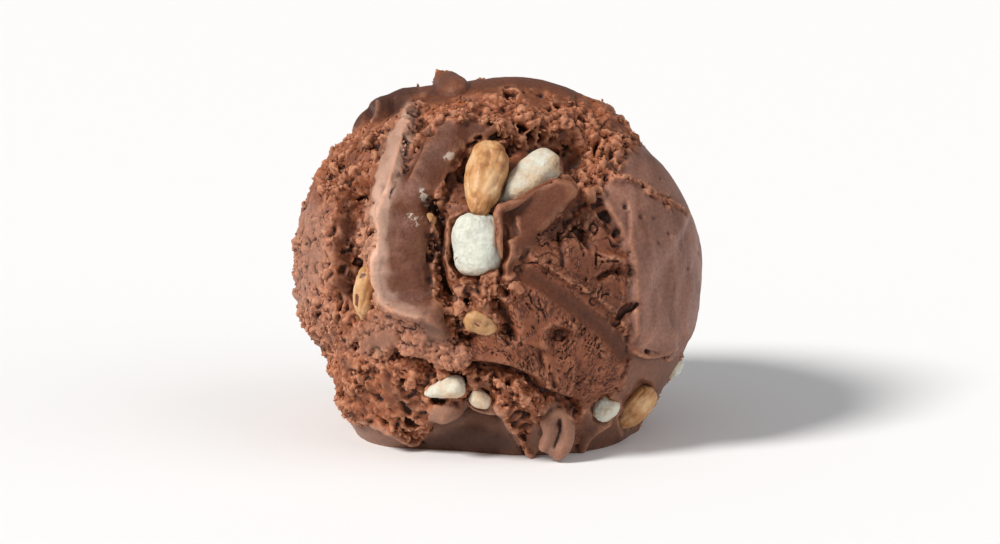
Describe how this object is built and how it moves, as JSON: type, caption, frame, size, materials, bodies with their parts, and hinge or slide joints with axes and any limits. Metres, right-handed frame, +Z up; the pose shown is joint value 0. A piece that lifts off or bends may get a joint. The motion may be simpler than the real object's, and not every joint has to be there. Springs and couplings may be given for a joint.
{
  "type": "scoop of rocky road ice cream",
  "caption": "Single round scoop of chocolate ice cream with nut kernels and mini marshmallows held in its torn, crumbly surface, flat underneath.",
  "frame": {"origin": "middle of the flat foot on which the scoop stands", "axes": "+Z up; the side with the open hollow, the kernels and the marshmallows faces -Y; +X is to its right as seen from there"},
  "size_m": [0.0678, 0.067, 0.0589],
  "materials": {
    "chocolate_ice_cream": "half frozen chocolate ice cream, crumbly where it tore and smooth where the scoop wiped it",
    "nut_kernel": "blanched roasted peanut kernel, softly glossy, with a film of chocolate in places",
    "marshmallow": "soft white mini marshmallow, matt, wet and tinted brown at its edges"
  },
  "bodies": {
    "root": {"ice_cream": "chocolate_ice_cream", "marshmallow_back": "marshmallow", "marshmallow_behind": "marshmallow", "marshmallow_by_torn": "marshmallow", "marshmallow_middle": "marshmallow", "marshmallow_right": "marshmallow", "marshmallow_side": "marshmallow", "marshmallow_top_edge": "marshmallow", "marshmallow_torn": "marshmallow", "peanut_back_left": "nut_kernel", "peanut_back_low": "nut_kernel", "peanut_by_crest": "nut_kernel", "peanut_in_cleft": "nut_kernel", "peanut_low": "nut_kernel", "peanut_right": "nut_kernel", "peanut_top": "nut_kernel"}
  },
  "joints": []
}
